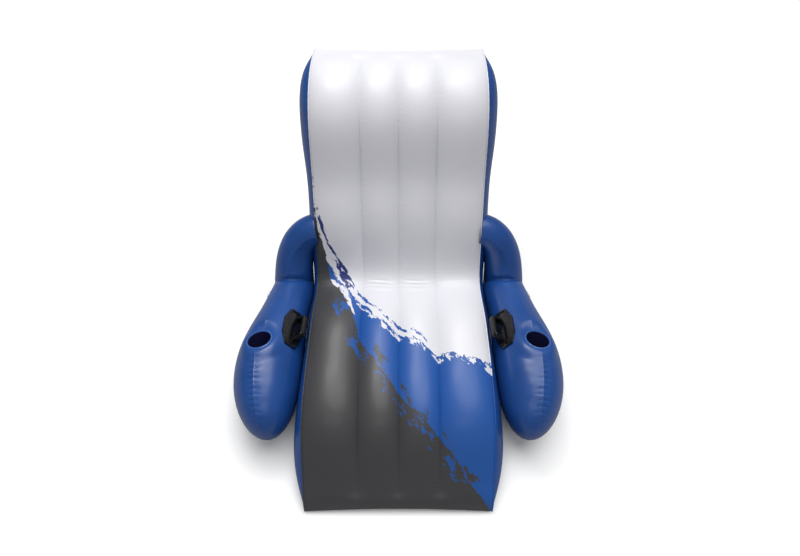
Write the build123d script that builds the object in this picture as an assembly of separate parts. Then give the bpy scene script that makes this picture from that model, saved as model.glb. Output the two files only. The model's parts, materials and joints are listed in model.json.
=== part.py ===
"""Inflatable pool float: a reclining water lounge with two armrests.

Every piece is a welded vinyl sheet or a moulded fitting of the real object:
the long face and back panels with their inner webs, the side gussets, the
bent arm tubes in welded halves, the cup wells and rims, the grab
handles and the three oral valves.

Frame: +Z up, the foot end towards -Y, the head end towards +Y, symmetric in
X. The origin is the middle of the footprint on the floor. Millimetres.
"""
import os
from math import cos, radians, sin, sqrt

from build123d import *

# ---------------------------------------------------------------- driving dimensions
WALL = 2.5                # sheet thickness of the model
FOLD_Y = 112.3             # place of the seat fold along Y
FLOOR_LIFT = 0.6          # brings the lowest channel, under the hip, onto the floor
WELD_X = 158.0            # outer weld lines; the middle one is at 0
INNER_CROWN = 0.80        # crown of the two inner channels over the outer ones

# The body, from the foot edge to the head edge. Each station is a matched pair
# of seam points, each forward of the fold and height above the floor, then the
# half width, the crowns of the face and back channels and the gusset's bulge.
#    face seam, back seam, half width, crowns, bulge
STATIONS = [
    ((944, 14), (941, 8), 359, (2, 2), 0.5),
    ((882, 80), (884, 23), 363, (15, 12), 17),
    ((788, 156), (790, 28), 366, (28, 24), 38),
    ((661, 239), (662, 28), 368, (36, 28), 42),
    ((520, 265), (520, 28), 366, (38, 28), 37),
    ((374, 260), (364, 28), 364, (38, 28), 32),
    ((180, 240), (150, 29), 360, (36, 22), 30),
    ((0, 210), (-96, 42), 356, (22, 20), 30),
    ((-100, 340), (-240, 185), 356, (30, 30), 38),
    ((-185, 471), (-311, 391), 357, (34, 32), 34),
    ((-260, 570), (-392, 490), 359, (34, 32), 36),
    ((-320, 680), (-458, 572), 360, (36, 34), 44),
    ((-398, 805), (-520, 650), 360, (38, 34), 50),
    ((-500, 875), (-584, 742), 358, (34, 30), 50),
    ((-612, 893), (-648, 820), 355, (20, 16), 32),
    ((-720, 885), (-719, 878), 352, (2, 2), 0.5),
]
WEB_STATIONS = slice(1, -1)   # the webs stop short of both end seams

# One arm, on the +X side. Front segment from the elbow seam to the nose:
# forward, height and X of the axis, then lateral and vertical radius.
ARM_FRONT = [
    (-50, 110, 482, 92, 107),
    (30, 121, 486, 96, 112),
    (130, 136, 503, 103, 124),
    (270, 156, 523, 124, 148),
    (360, 164, 532, 133, 158),
    (441, 166, 535.5, 134, 161),
]
NOSE_LENGTH = 268.0           # from the widest section to the tip
NOSE_STEPS = (0.35, 0.60, 0.80, 0.92, 0.98, 0.998)
NOSE_TURN_IN = 20.0           # how far the tip leans towards the body
ELBOW_TILT = 28.6             # the elbow seam leans this much from upright
SEAM_SHIFT = 9.0              # degrees round the tube by which the ridge seam lies outward of its top

# The riser, from the elbow seam up and round to the side gusset: axis point as
# (X, forward, height), axis direction and the two radii.
ARM_RISER = [
    ((482, -50, 110), (0.00, -0.878, 0.479), 92, 107),
    ((476, -92, 186), (-0.07, -0.560, 0.828), 85, 92),
    ((458, -130, 258), (-0.42, -0.330, 0.845), 80, 82),
    ((420, -158, 318), (-0.82, -0.170, 0.546), 76, 77),
    ((380, -170, 347), (-0.99, -0.050, 0.130), 72, 74),
]

CUP_PLACE = (555, 356, 313)   # X, forward and height of the rim's centre
CUP_LEAN_OUT = 9.0
CUP_LEAN_BACK = 19.0
CUP_BORE_R = 46.0
CUP_DEPTH = 82.0
CUP_WALL = 1.8
CUP_RIM_R = 53.5
CUP_RIM_H = 3.0

HANDLE_F = 276.0              # middle of the grab handle, forward of the fold
HANDLE_ANGLE = 45.0           # round the arm from its top, towards the body
PLATE_L = 188.0
PLATE_W = 96.0
PLATE_END_W = 54.0
PLATE_CORNER_R = 14.0
PLATE_T = 4.0
BORDER_W = 9.0
BORDER_H = 4.0
GRIP_L = 128.0
GRIP_TOP_L = 104.0
GRIP_W = 24.0
GRIP_RISE = 50.0
GRIP_BAR = 12.0
GRIP_CORNER_R = 12.0
GRIP_OFFSET = 16.0            # the grip stands towards the body side of its plate

ARM_VALVE_F = 40.0            # just ahead of the elbow seam
ARM_VALVE_ANGLE = 80.0        # round the arm from its top, on the outer side
VALVE_PROUD = 2.0             # the flange's top lies this far above the sheet
VALVE_FLANGE_R = 21.0
VALVE_FLANGE_T = 3.0
VALVE_COLLAR_R = 11.5
VALVE_COLLAR_IN = 8.0
STEM_R = 8.0
STEM_BORE_R = 5.0
STEM_LENGTH = 22.0
STEM_LIP_R = 11.0
STEM_LIP_T = 1.5
RUN_GAP = 0.35                # clearance of the sliding stem and other moving pieces
CAP_R = 10.0
CAP_T = 3.0
PLUG_R = 4.6
PLUG_TIP_R = 3.4
PLUG_L = 6.0
CAP_HINGE_X = 14.0            # the cap's strap bends this far from the stem's axis
STRAP_W = 5.0
EAR_L = 5.0
EAR_OVER = 0.4                # the stem's ear reaches this far past the bend
FLAP_T = 0.8

os.makedirs("parts", exist_ok=True)


def at(x, forward, height):
    """A point of the model from its place forward of the fold."""
    return Vector(x, FOLD_Y - forward, FLOOR_LIFT + height)


def write(name, shape):
    """Name one finished piece and write it to its file."""
    shape.label = name
    export_step(shape, f"parts/{name}.step")
    box = shape.bounding_box()
    print(f"{name:30s} {shape.volume / 1000:9.1f} cm3  {box.min} {box.max}")


def mirrored(shape):
    """The same piece on the other side of the float."""
    return mirror(shape, about=Plane.YZ)


# ---------------------------------------------------------------- body sheets
def section_plane(station, on_face):
    """Plane of one station: local x is +X, local y points out of the panel."""
    face, back = station[0], station[1]
    top = at(0, *face)
    low = at(0, *back)
    out = (top - low).normalized()
    origin = top if on_face else low
    normal = Vector(1, 0, 0).cross(out if on_face else -out)
    return Plane(origin=origin, x_dir=(1, 0, 0), z_dir=normal)


def channel_row(half, crown, drop, reverse=False):
    """The four crowned channels of a panel's section, as arcs from weld to weld."""
    welds = [-half, -WELD_X, 0, WELD_X, half]
    arcs = []
    for index in range(4):
        left, right = welds[index], welds[index + 1]
        rise = crown * (INNER_CROWN if index in (1, 2) else 1.0)
        points = [(left, -drop), ((left + right) / 2, rise - drop), (right, -drop)]
        if reverse:
            points.reverse()
        arcs.append(ThreePointArc(*points))
    return arcs[::-1] if reverse else arcs


def panel(on_face):
    """A face or back panel: a sheet lofted through the sections of the body."""
    sections = []
    for station in STATIONS:
        half, crown = station[2], station[3][0 if on_face else 1]
        edges = channel_row(half, crown, 0)
        edges.append(Line((half, 0), (half, -WALL)))
        edges += channel_row(half, crown, WALL, reverse=True)
        edges.append(Line((-half, -WALL), (-half, 0)))
        sections.append(section_plane(station, on_face) * make_face(edges))
    return loft(sections)


def side_gusset():
    """The bulging side strip between the two panels' seams, on the +X side."""
    sections = []
    for station in STATIONS:
        depth = (at(0, *station[0]) - at(0, *station[1])).length
        half, bulge = station[2], station[4]
        top, low = -WALL, WALL - depth          # it sits between the two panels' seams
        middle = (top + low) / 2
        edges = [
            ThreePointArc((half, top), (half + bulge, middle), (half, low)),
            Line((half, low), (half - WALL, low)),
            ThreePointArc((half - WALL, low), (half + bulge - WALL, middle), (half - WALL, top)),
            Line((half - WALL, top), (half, top)),
        ]
        sections.append(section_plane(station, True) * make_face(edges))
    return loft(sections)


def channel_web(x):
    """A flat web along one weld line, tying the face panel to the back panel."""
    tops, lows = [], []
    for station in STATIONS[WEB_STATIONS]:
        top = at(0, *station[0])
        low = at(0, *station[1])
        inward = (low - top).normalized() * WALL
        tops.append(top + inward)
        lows.append(low - inward)
    outline = [
        Spline(*tops),
        Line(tops[-1], lows[-1]),
        Spline(*lows[::-1]),
        Line(lows[0], tops[0]),
    ]
    web = extrude(make_face(outline), amount=WALL / 2, dir=(1, 0, 0), both=True)
    return Pos(x, 0, 0) * web


# ---------------------------------------------------------------- arms
def front_stations():
    """Axis point, axis direction and radii of the front segment, nose included."""
    stations = []
    tilt = radians(ELBOW_TILT)
    for index, (forward, height, x, wide, tall) in enumerate(ARM_FRONT):
        direction = Vector(0, -cos(tilt), -sin(tilt)) if index == 0 else Vector(0, -1, 0)
        stations.append((at(x, forward, height), direction, wide, tall))
    forward, height, x, wide, tall = ARM_FRONT[-1]
    for step in NOSE_STEPS:
        shrink = sqrt(1 - step * step)
        centre = at(x - NOSE_TURN_IN * step * step, forward + NOSE_LENGTH * step, height)
        stations.append((centre, Vector(0, -1, 0), wide * shrink, tall * shrink))
    return stations


def riser_stations():
    """The same for the riser, from the elbow seam up to the gusset."""
    stations = []
    for (x, forward, height), (dx, df, dz), wide, tall in ARM_RISER:
        stations.append((at(x, forward, height), Vector(-dx, df, -dz), wide, tall))
    return stations


def ring_plane(centre, direction):
    """Plane across the tube: local x points outward, local y upward."""
    along = direction.normalized()
    outward = Vector(1, 0, 0) - along * along.X
    return Plane(origin=centre, x_dir=outward.normalized(), z_dir=along)


def half_ring(wide, tall, outer):
    """One half of the tube's section, between the ridge seam and the lower seam."""
    ridge = 90 - SEAM_SHIFT
    start = ridge - 180 if outer else ridge
    thin_wide, thin_tall = wide - WALL, tall - WALL
    edges = [
        EllipticalCenterArc((0, 0), wide, tall, start_angle=start, arc_size=180),
        EllipticalCenterArc((0, 0), thin_wide, thin_tall, start_angle=start, arc_size=180),
    ]
    for seam in (radians(ridge), radians(ridge - 180)):
        across, up = cos(seam), sin(seam)
        edges.append(Line((wide * across, tall * up), (thin_wide * across, thin_tall * up)))
    return make_face(edges)


def tube_half(stations, outer):
    """One sheet of an arm tube, from the ridge seam to the seam underneath."""
    sections = []
    for centre, direction, wide, tall in stations:
        sections.append(ring_plane(centre, direction) * half_ring(wide, tall, outer))
    return loft(sections)


def front_body(grow):
    """The solid envelope of the front segment, made larger by a few millimetres."""
    sections = []
    for centre, direction, wide, tall in front_stations()[:-1]:
        plane = ring_plane(centre, direction)
        sections.append(plane * make_face(Ellipse(wide + grow, tall + grow).edges()))
    return loft(sections)


def arm_surface(forward, angle):
    """Point on the front segment, at an angle round it from its top."""
    for low, high in zip(ARM_FRONT, ARM_FRONT[1:]):
        if low[0] <= forward <= high[0]:
            break
    share = (forward - low[0]) / (high[0] - low[0])
    _, height, x, wide, tall = [a + (b - a) * share for a, b in zip(low, high)]
    turn = radians(angle)
    return at(x + wide * sin(turn), forward, height + tall * cos(turn))


def surface_plane(forward, angle, reach):
    """Plane touching the arm: local x runs forward along it, local z outward."""
    spot = arm_surface(forward, angle)
    ahead = arm_surface(forward + reach, angle) - arm_surface(forward - reach, angle)
    round_it = arm_surface(forward, angle + 2) - arm_surface(forward, angle - 2)
    return Plane(origin=spot, x_dir=ahead, z_dir=ahead.cross(round_it))


# ---------------------------------------------------------------- cup holders
def cup_plane():
    """Plane of the cup's mouth: local z runs out of the cup."""
    lean_out, lean_back = radians(CUP_LEAN_OUT), radians(CUP_LEAN_BACK)
    out = Vector(sin(lean_out), sin(lean_back), cos(lean_back))
    return Plane(origin=at(*CUP_PLACE), x_dir=(1, 0, 0), z_dir=out)


def cup_well():
    """A welded cup with a flat floor, open at its mouth."""
    outer = Cylinder(CUP_BORE_R + CUP_WALL, CUP_DEPTH, align=(Align.CENTER, Align.CENTER, Align.MAX))
    bore = Cylinder(CUP_BORE_R, CUP_DEPTH - CUP_WALL, align=(Align.CENTER, Align.CENTER, Align.MAX))
    return cup_plane() * (outer - bore)


def cup_rim():
    """The rounded ring that is welded round the mouth."""
    band = Cylinder(CUP_RIM_R, CUP_RIM_H * 2)
    band -= Cylinder(CUP_BORE_R + CUP_WALL, CUP_RIM_H * 2)
    outer_edges = band.edges().filter_by(GeomType.CIRCLE).group_by(SortBy.RADIUS)[-1]
    return cup_plane() * fillet(outer_edges, CUP_RIM_H * 0.9)


def cup_cutter():
    """What the cup takes out of the arm's two sheets."""
    return cup_plane() * Cylinder(CUP_BORE_R + CUP_WALL, 3 * CUP_DEPTH)


# ---------------------------------------------------------------- grab handles
def handle_plane():
    """Plane on the arm's inner upper side: local x forward, local z outward."""
    return surface_plane(HANDLE_F, -HANDLE_ANGLE, GRIP_L / 2)


def plate_outline(inset):
    """The long hexagon of the handle's base plate."""
    length, width, end = PLATE_L / 2 - inset, PLATE_W / 2 - inset, PLATE_END_W / 2 - inset
    waist = length * 0.42
    corners = [(-length, -end), (-waist, -width), (waist, -width), (length, -end),
               (length, end), (waist, width), (-waist, width), (-length, end)]
    outline = make_face(Polyline(*corners, close=True).edges())
    return fillet(outline.vertices(), PLATE_CORNER_R - inset)


def handle_base():
    """The base plate, curved to the arm, with a raised border."""
    skin = front_body(0.3)
    reach = 60.0
    blank = handle_plane() * extrude(plate_outline(0), amount=reach, both=True)
    field = handle_plane() * extrude(plate_outline(BORDER_W), amount=reach, both=True)
    plate = (front_body(PLATE_T) & blank) - skin
    border = (front_body(PLATE_T + BORDER_H) & (blank - field)) - skin
    return plate + border


def handle_grip():
    """The grip bar on its two legs, with the finger gap under it."""
    outer = [(-GRIP_L / 2, 0), (-GRIP_TOP_L / 2, GRIP_RISE), (GRIP_TOP_L / 2, GRIP_RISE), (GRIP_L / 2, 0)]
    gap_low, gap_top = GRIP_L / 2 - GRIP_BAR, GRIP_TOP_L / 2 - GRIP_BAR
    top = GRIP_RISE - GRIP_BAR
    inner = [(-gap_low, -1), (-gap_top, top), (gap_top, top), (gap_low, -1)]
    arch = make_face(Polyline(*outer, close=True).edges())
    arch = fillet(arch.vertices().group_by(Axis.Y)[-1], GRIP_CORNER_R)
    gap = make_face(Polyline(*inner, close=True).edges())
    arch -= fillet(gap.vertices().group_by(Axis.Y)[-1], GRIP_CORNER_R / 2)
    bar = extrude(Plane.XZ * arch, amount=GRIP_W / 2, both=True)
    long_edges = bar.edges().filter_by(Axis.X).group_by(Axis.Z)[-1]
    bar = fillet(long_edges, 4.0)
    return handle_plane() * Pos(0, -GRIP_OFFSET, PLATE_T - 1.5) * bar


# ---------------------------------------------------------------- valves
def valve_base():
    """Welded flange with the collar that the stem slides in."""
    flange = Cylinder(VALVE_FLANGE_R, VALVE_FLANGE_T, align=(Align.CENTER, Align.CENTER, Align.MAX))
    collar = Cylinder(VALVE_COLLAR_R, VALVE_COLLAR_IN, align=(Align.CENTER, Align.CENTER, Align.MAX))
    return flange + collar - Cylinder(STEM_R + RUN_GAP, 4 * VALVE_COLLAR_IN)


def valve_stem():
    """The tube that is pulled out to blow and pushed in to lie flush."""
    base = RUN_GAP
    tube = Pos(0, 0, base) * Cylinder(STEM_R, STEM_LENGTH, align=(Align.CENTER, Align.CENTER, Align.MAX))
    lip = Pos(0, 0, base) * Cylinder(STEM_LIP_R, STEM_LIP_T, align=(Align.CENTER, Align.CENTER, Align.MIN))
    ear = Box(EAR_L, STRAP_W, STEM_LIP_T, align=(Align.MIN, Align.CENTER, Align.MIN))
    ear = Pos(-CAP_HINGE_X - EAR_OVER, 0, base) * ear
    bore = Pos(0, 0, base) * Cylinder(STEM_BORE_R, 4 * STEM_LENGTH)
    return tube + lip + ear - bore


def valve_cap():
    """The plug and its lid, joined to the stem by a living hinge on one side."""
    level = RUN_GAP + STEM_LIP_T + RUN_GAP
    lid = Cylinder(CAP_R, CAP_T, align=(Align.CENTER, Align.CENTER, Align.MIN))
    strap = Box(CAP_HINGE_X, STRAP_W, CAP_T, align=(Align.MIN, Align.CENTER, Align.MIN))
    plug = Cone(PLUG_TIP_R, PLUG_R, PLUG_L, align=(Align.CENTER, Align.CENTER, Align.MAX))
    return Pos(0, 0, level) * (lid + Pos(-CAP_HINGE_X, 0, 0) * strap + plug)


def valve_flap():
    """The thin disc that closes the stem's inner end against the air."""
    level = RUN_GAP - STEM_LENGTH - RUN_GAP
    return Pos(0, 0, level) * Cylinder(STEM_R, FLAP_T, align=(Align.CENTER, Align.CENTER, Align.MAX))


def valve_cutter():
    """The hole through the sheet under a valve."""
    return Cylinder(VALVE_COLLAR_R, 60)


def arm_valve_plane():
    """On the outer side of the arm, just ahead of the elbow seam."""
    return surface_plane(ARM_VALVE_F, ARM_VALVE_ANGLE, VALVE_FLANGE_R).offset(VALVE_PROUD)


def body_valve_plane():
    """Behind the head rest, on the crown of an inner channel."""
    station = STATIONS[12]
    plane = section_plane(station, False)
    out = plane.y_dir
    spot = at(0, *station[1]) + Vector(WELD_X / 2, 0, 0) + out * (station[3][1] * INNER_CROWN)
    return Plane(origin=spot, x_dir=(1, 0, 0), z_dir=out).offset(VALVE_PROUD)


VALVE_PIECES = {"base": valve_base, "stem": valve_stem, "cap": valve_cap, "flap": valve_flap}


# ---------------------------------------------------------------- the whole float
def build_body():
    cut = body_valve_plane() * valve_cutter()
    write("face_panel", panel(True))
    write("back_panel", panel(False) - cut)
    gusset = side_gusset()
    write("right_side_gusset", gusset)
    write("left_side_gusset", mirrored(gusset))
    for name, x in (("left", -WELD_X), ("middle", 0), ("right", WELD_X)):
        write(f"{name}_channel_web", channel_web(x))


def build_arms():
    front = front_stations()
    riser = riser_stations()
    valve_hole = arm_valve_plane() * valve_cutter()
    pieces = {
        "arm_outer_panel": tube_half(front, True) - cup_cutter() - valve_hole,
        "arm_inner_panel": tube_half(front, False) - cup_cutter(),
        "arm_riser_outer_panel": tube_half(riser, True),
        "arm_riser_inner_panel": tube_half(riser, False),
        "cup_well": cup_well(),
        "cup_rim": cup_rim(),
        "handle_base": handle_base(),
        "handle_grip": handle_grip(),
    }
    for name, shape in pieces.items():
        write(f"right_{name}", shape)
        write(f"left_{name}", mirrored(shape))


def build_valves():
    for name, make in VALVE_PIECES.items():
        write(f"body_valve_{name}", body_valve_plane() * make())
        arm_piece = arm_valve_plane() * make()
        write(f"right_arm_valve_{name}", arm_piece)
        write(f"left_arm_valve_{name}", mirrored(arm_piece))


build_body()
build_arms()
build_valves()
for name, plane in (("cup", cup_plane()), ("handle", handle_plane()), ("arm valve", arm_valve_plane()),
                    ("body valve", body_valve_plane())):
    print(name, plane.origin, "x", plane.x_dir, "y", plane.y_dir, "z", plane.z_dir)
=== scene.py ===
# %% [markdown]
# # Inflatable pool float
# A reclining water lounge is a set of flat vinyl sheets, welded along their
# edges and blown up. Nothing on it is stiff: its shape comes from where the
# welds are and from the air that pushes the sheets out between them.
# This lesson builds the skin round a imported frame. The frame says where each
# sheet is, and the skin adds what the air does: full channels, sharp welds,
# puckers where a curved seam gathers the sheet, and a glossy, printed finish.

# %% Load the frame
import json
import math

import bpy
import numpy as np
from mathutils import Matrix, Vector


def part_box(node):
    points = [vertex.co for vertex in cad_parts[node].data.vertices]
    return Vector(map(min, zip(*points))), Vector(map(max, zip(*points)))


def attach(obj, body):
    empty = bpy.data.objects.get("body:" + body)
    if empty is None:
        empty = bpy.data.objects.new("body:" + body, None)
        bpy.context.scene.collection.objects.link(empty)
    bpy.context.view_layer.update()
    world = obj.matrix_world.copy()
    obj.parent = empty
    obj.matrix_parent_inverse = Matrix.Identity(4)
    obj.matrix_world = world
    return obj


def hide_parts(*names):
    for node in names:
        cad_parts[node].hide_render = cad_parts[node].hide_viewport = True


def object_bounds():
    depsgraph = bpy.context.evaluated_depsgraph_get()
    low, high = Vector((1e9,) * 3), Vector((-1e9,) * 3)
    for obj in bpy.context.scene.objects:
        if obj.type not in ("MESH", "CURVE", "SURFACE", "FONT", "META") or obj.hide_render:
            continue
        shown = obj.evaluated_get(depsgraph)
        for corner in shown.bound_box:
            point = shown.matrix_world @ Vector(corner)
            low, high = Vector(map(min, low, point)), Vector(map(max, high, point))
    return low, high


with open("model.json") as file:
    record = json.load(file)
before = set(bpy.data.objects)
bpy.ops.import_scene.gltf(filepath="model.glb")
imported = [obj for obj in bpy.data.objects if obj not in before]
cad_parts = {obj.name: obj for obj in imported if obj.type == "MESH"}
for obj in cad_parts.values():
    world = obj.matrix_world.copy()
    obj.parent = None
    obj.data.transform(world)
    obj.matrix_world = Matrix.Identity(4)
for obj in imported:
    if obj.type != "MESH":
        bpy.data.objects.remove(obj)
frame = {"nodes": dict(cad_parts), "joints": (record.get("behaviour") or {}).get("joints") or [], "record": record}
nodes = frame["nodes"]
CAD_BOX = [list(corner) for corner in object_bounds()]
BODY = "float_body"
SIDES = {"right": 1, "left": -1}
print("frame:", len(nodes), "nodes, box", [[round(c, 3) for c in corner] for corner in CAD_BOX])

# %% [markdown]
# ## Measuring the frame with rays
# The sheets of the frame are plain. Rather than copy numbers, each skin is laid
# over them by probing: a ray goes out from inside the float and stops at the
# sheet. The facets of the frame would show in a glossy finish, so every measured
# line is smoothed before it is used.

# %% Rays and smoothing
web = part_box("right_channel_web")
SHEET = web[1].x - web[0].x
WELD_X = (web[0].x + web[1].x) / 2
print("sheet", round(SHEET * 1000, 2), "mm, outer weld lines at", round(WELD_X, 3))


def reach(names, start, direction):
    """How far a ray goes before it meets one of the named sheets."""
    best = math.nan
    for name in names:
        found, place, _, _ = nodes[name].ray_cast(Vector(start), Vector(direction))
        if found:
            best = np.nanmin([best, (place - Vector(start)).length])
    return best


def smooth(values, width):
    """A moving average with rounded weights that leaves both ends in place."""
    values = np.asarray(values, float)
    weights = np.hanning(2 * width + 3)[1:-1]
    weights /= weights.sum()
    low, high = values[:1], values[-1:]
    padded = np.concatenate([2 * low - values[width:0:-1], values, 2 * high - values[-2:-width - 2:-1]])
    return np.convolve(padded, weights, "valid")


def fill_gaps(values):
    """Straight lines across the places where a ray found nothing."""
    good = ~np.isnan(values)
    index = np.arange(len(values))
    return np.interp(index, index[good], values[good])


def ease(low, high, value):
    """0 below low, 1 above high, and a soft step between."""
    t = np.clip((value - low) / (high - low), 0, 1)
    return t * t * (3 - 2 * t)


# %% [markdown]
# ## A sheet from a grid
# Every sheet starts as a grid primitive. Its own rows and columns become the
# length and width of the cut sheet, and a placing function says where each point
# lies. The same two numbers, in metres, are kept as the UV map, so the print
# follows the vinyl and not the room.

# %% Grid helper
def nothing_selected():
    if bpy.context.object and bpy.context.object.mode != "OBJECT":
        bpy.ops.object.mode_set(mode="OBJECT")
    bpy.ops.object.select_all(action="DESELECT")


def grid_sheet(name, places, across, along):
    """A grid of points, rows by columns, with the flat sizes as its UV map."""
    rows, columns = places.shape[:2]
    nothing_selected()
    bpy.ops.mesh.primitive_grid_add(x_subdivisions=columns - 1, y_subdivisions=rows - 1, size=1)
    piece = bpy.context.object
    piece.name = piece.data.name = name
    mesh = piece.data
    mesh.vertices.foreach_set("co", places.reshape(-1).astype(np.float32))
    corner = np.zeros(len(mesh.loops), np.int32)
    mesh.loops.foreach_get("vertex_index", corner)
    flat = np.stack([across, along], axis=-1).reshape(-1, 2)
    mesh.uv_layers[0].data.foreach_set("uv", flat[corner].reshape(-1).astype(np.float32))
    mesh.update()
    bpy.ops.object.shade_smooth()
    return piece


def crease(piece, on_line):
    """Keeps the shading crisp along the grid lines where the sheet is welded."""
    mesh = piece.data
    place = np.zeros(len(mesh.vertices) * 3)
    mesh.vertices.foreach_get("co", place)
    marked = on_line(place.reshape(-1, 3))
    ends = np.zeros(len(mesh.edges) * 2, np.int32)
    mesh.edges.foreach_get("vertices", ends)
    ends = ends.reshape(-1, 2)
    sharp = marked[ends[:, 0]] & marked[ends[:, 1]]
    mesh.attributes.new("sharp_edge", "BOOLEAN", "EDGE").data.foreach_set("value", sharp)


def on_weld(place):
    """True at the vertices that lie on one of the three weld lines."""
    return np.min([np.abs(place[:, 0] - x) for x in (-WELD_X, 0, WELD_X)], axis=0) < 1e-5


def face_outwards(piece, outwards):
    """Turns the faces round if the sheet's middle face looks the wrong way."""
    middle = piece.data.polygons[len(piece.data.polygons) // 2]
    if middle.normal.dot(Vector(outwards)) < 0:
        nothing_selected()
        bpy.context.view_layer.objects.active = piece
        piece.select_set(True)
        bpy.ops.object.mode_set(mode="EDIT")
        bpy.ops.mesh.select_all(action="SELECT")
        bpy.ops.mesh.flip_normals()
        bpy.ops.object.mode_set(mode="OBJECT")


def give_thickness(piece, thickness):
    """The vinyl's own thickness, laid inwards."""
    modifier = piece.modifiers.new("vinyl", "SOLIDIFY")
    modifier.thickness = thickness
    modifier.offset = -1
    nothing_selected()
    bpy.context.view_layer.objects.active = piece
    piece.select_set(True)
    bpy.ops.object.modifier_apply(modifier=modifier.name)


def belongs(piece, material, slot, *cad_nodes):
    """Finish, body and the nodes that a piece stands for."""
    piece.data.materials.clear()
    piece.data.materials.append(material)
    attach(piece, BODY)
    if cad_nodes:
        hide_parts(*cad_nodes)
    print(piece.name, len(piece.data.polygons), "faces")


VINYL = 0.0008
print("skin thickness", VINYL * 1000, "mm")

# %% [markdown]
# ## Finishes
# All the vinyl shares one effect: a faint unevenness of the calendered sheet,
# very slightly cloudy gloss and some rubbed spots. It is a node group with its
# own inputs, so each finish sets how strong it is.

# %% Shared vinyl surface group
def new_group(name, inputs, outputs):
    group = bpy.data.node_groups.new(name, "ShaderNodeTree")
    for label, kind, value in inputs:
        socket = group.interface.new_socket(label, in_out="INPUT", socket_type=kind)
        if value is not None:
            socket.default_value = value
    for label, kind in outputs:
        group.interface.new_socket(label, in_out="OUTPUT", socket_type=kind)
    return group, group.nodes.new("NodeGroupInput"), group.nodes.new("NodeGroupOutput")


class Nodes:
    """Short calls for adding and joining nodes of one tree."""

    def __init__(self, tree):
        self.tree = tree

    def add(self, kind, **values):
        node = self.tree.nodes.new(kind)
        for key, value in values.items():
            setattr(node, key, value)
        return node

    def join(self, source, target):
        self.tree.links.new(source, target)

    def number(self, operation, first, second=None, third=None):
        node = self.tree.nodes.new("ShaderNodeMath")
        node.operation = operation
        for index, value in enumerate((first, second, third)):
            if value is None:
                continue
            if isinstance(value, (int, float)):
                node.inputs[index].default_value = value
            else:
                self.join(value, node.inputs[index])
        return node.outputs[0]

    def noise(self, vector, scale, detail=3.0, rough=0.5):
        node = self.tree.nodes.new("ShaderNodeTexNoise")
        node.inputs["Scale"].default_value = scale
        node.inputs["Detail"].default_value = detail
        node.inputs["Roughness"].default_value = rough
        if vector is not None:
            self.join(vector, node.inputs["Vector"])
        return node.outputs["Fac"]

    def between(self, value, low, high, to_low=0.0, to_high=1.0):
        node = self.tree.nodes.new("ShaderNodeMapRange")
        self.join(value, node.inputs["Value"])
        for label, number in (("From Min", low), ("From Max", high), ("To Min", to_low), ("To Max", to_high)):
            node.inputs[label].default_value = number
        return node.outputs["Result"]

    def mix(self, factor, first, second):
        node = self.tree.nodes.new("ShaderNodeMix")
        node.data_type = "RGBA"
        for label, value in (("Factor", factor), ("A", first), ("B", second)):
            socket = [s for s in node.inputs if s.name == label and s.enabled][0]
            if isinstance(value, (tuple, float, int)):
                socket.default_value = value
            else:
                self.join(value, socket)
        return [s for s in node.outputs if s.enabled][0]


def vinyl_surface_group():
    group, inside, outside = new_group(
        "vinyl_surface",
        [("Gloss", "NodeSocketFloat", 0.25), ("Cloud", "NodeSocketFloat", 0.08), ("Wave", "NodeSocketFloat", 0.15)],
        [("Roughness", "NodeSocketFloat"), ("Normal", "NodeSocketVector"), ("Shade", "NodeSocketFloat")],
    )
    make = Nodes(group)
    place = make.add("ShaderNodeTexCoord").outputs["Object"]
    cloud = make.noise(place, 9.0, 4.0)
    rubbed = make.between(make.noise(place, 55.0, 6.0, 0.65), 0.52, 0.75)
    rough = make.number("MULTIPLY_ADD", cloud, inside.outputs["Cloud"], inside.outputs["Gloss"])
    rough = make.number("MULTIPLY_ADD", rubbed, 0.06, rough)
    make.join(rough, outside.inputs["Roughness"])
    slack = make.noise(place, 14.0, 2.0)
    peel = make.noise(place, 420.0, 2.0)
    height = make.number("MULTIPLY_ADD", peel, 0.035, slack)
    bump = make.add("ShaderNodeBump")
    bump.inputs["Distance"].default_value = 0.004
    make.join(inside.outputs["Wave"], bump.inputs["Strength"])
    make.join(height, bump.inputs["Height"])
    make.join(bump.outputs["Normal"], outside.inputs["Normal"])
    make.join(make.between(cloud, 0.3, 0.7, 0.0, 1.0), outside.inputs["Shade"])
    return group


vinyl_surface = vinyl_surface_group()
print("group", vinyl_surface.name, "ready")

# %% [markdown]
# The print on the face sheet is a broad torn brush sweep: dark grey below it,
# blue inside it and white above it. Two guide lines carry the sweep. The grey
# ends at a line given as a distance across for each distance along, and the white
# starts at one given the other way round, because each is nearly straight that
# way. Noise drawn out along the stroke frays both, and a few thinner strokes of
# blue and navy, broken up by the same noise, run beside them.

# %% Guide lines of the print
SPAN = 0.38              # the guide lines reach this far each side of the middle
LONG = 1.60              # and this far along the sheet

GREY_ENDS = [(0.0, 0.350), (0.113, 0.263), (0.214, 0.208), (0.269, 0.150), (0.340, 0.100), (0.400, 0.030),
             (0.487, -0.037), (0.574, -0.094), (0.672, -0.150), (0.800, -0.196), (0.950, -0.252),
             (0.985, -0.286), (1.107, -0.318), (1.250, -0.342), (1.420, -0.360), (1.60, -0.375)]
NAVY_STROKE = [(0.0, -0.10), (0.90, -0.185), (0.970, -0.222), (1.045, -0.245), (1.155, -0.288), (1.240, -0.314),
               (1.330, -0.336), (1.60, -0.372)]
WHITE_STARTS = [(-0.38, 1.20), (-0.300, 1.08), (-0.250, 0.985), (-0.211, 0.930), (-0.170, 0.872), (-0.086, 0.773),
                (0.0, 0.695), (0.067, 0.672), (0.150, 0.610), (0.260, 0.588), (0.38, 0.555)]

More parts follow.
